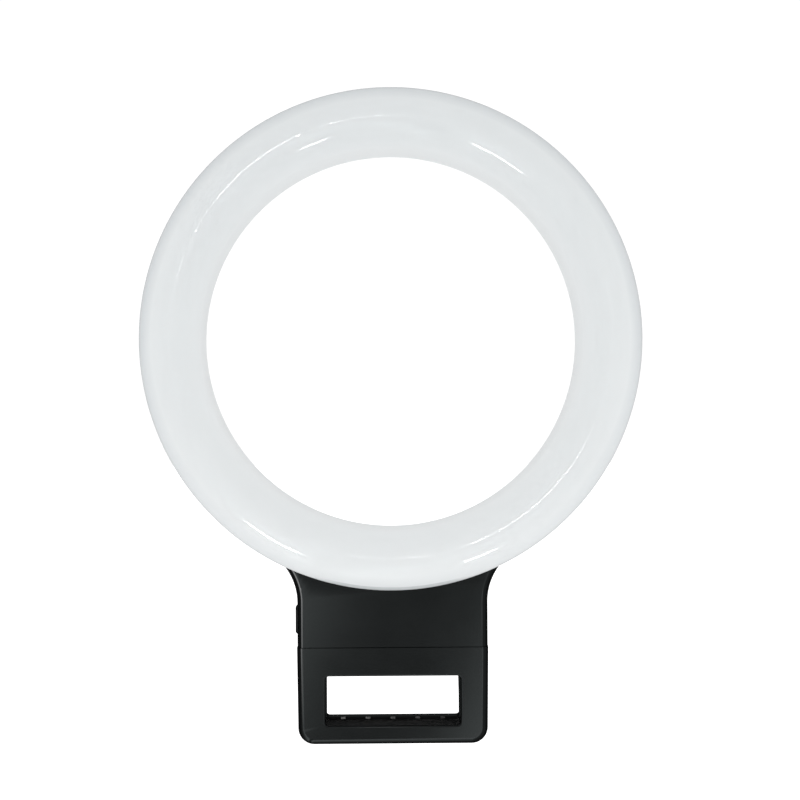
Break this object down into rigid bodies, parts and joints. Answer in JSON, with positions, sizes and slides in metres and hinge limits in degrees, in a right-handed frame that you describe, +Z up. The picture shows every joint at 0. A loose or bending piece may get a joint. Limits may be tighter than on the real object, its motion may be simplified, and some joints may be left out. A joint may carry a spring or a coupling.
{
  "type": "clip-on selfie ring light",
  "caption": "Small round ring light on a battery housing whose sprung jaws clip over the top edge of a phone.",
  "frame": {"origin": "where the middle of a phone's top edge seats between the jaws, on the front jaw's rubber face", "axes": "+X to the right seen from the lit side, +Y to the back, +Z up from the jaws to the ring"},
  "size_m": [0.085, 0.0321, 0.1119],
  "materials": {
    "milk_plastic": "glossy milky translucent moulding",
    "white_plastic": "white moulding, half gloss",
    "board_white": "white solder mask",
    "led_phosphor": "yellow phosphor in a white frame",
    "chip_black": "moulded epoxy",
    "screw_steel": "zinc plated",
    "black_plastic": "satin moulded",
    "black_rubber": "soft matt rubber",
    "pin_steel": "ground steel",
    "spring_steel": "drawn wire",
    "button_plastic": "satin moulded",
    "switch_plastic": "moulded",
    "socket_steel": "tin plated sheet",
    "tongue_plastic": "moulded with contacts",
    "board_green": "green solder mask",
    "capacitor_ceramic": "ceramic",
    "cell_foil": "laminated foil",
    "tape_white": "foam tape",
    "wire_red": "insulation",
    "wire_black": "insulation"
  },
  "bodies": {
    "housing": {"ring_diffuser": "milk_plastic", "ring_back_cover": "white_plastic", "led_board": "board_white", "leds": "led_phosphor", "led_resistors": "chip_black", "ring_screws": "screw_steel", "front_cover": "black_plastic", "main_body": "black_plastic", "front_jaw_pad": "black_rubber", "hinge_pin": "pin_steel", "torsion_spring": "spring_steel", "switch_body": "switch_plastic", "usb_socket_shell": "socket_steel", "usb_socket_tongue": "tongue_plastic", "control_board": "board_green", "charger_chip": "chip_black", "driver_chip": "chip_black", "board_resistors": "chip_black", "board_capacitors": "capacitor_ceramic", "board_screws": "screw_steel", "battery_cell": "cell_foil", "battery_tape": "tape_white", "led_wire_red": "wire_red", "led_wire_black": "wire_black", "battery_wire_red": "wire_red", "battery_wire_black": "wire_black", "housing_screws": "screw_steel"},
    "lever": {"rear_jaw": "black_plastic", "rear_jaw_pad": "black_rubber"},
    "button": {"power_button": "button_plastic", "switch_plunger": "switch_plastic"}
  },
  "joints": [
    {"name": "clip_open", "type": "hinge", "parent": "housing", "child": "lever", "pos_m": [0, 0.0072, 0.0029], "axis": [1, 0, 0], "range_deg": [0, 40], "stiffness_Nm_per_rad": 0.08, "springref_deg": -28.65, "deforming": ["torsion_spring"]},
    {"name": "button_press", "type": "slide", "parent": "housing", "child": "button", "axis": [1, 0, 0], "range_m": [0, 0.0003], "stiffness_N_per_m": 1500, "springref_m": -0.0003}
  ]
}
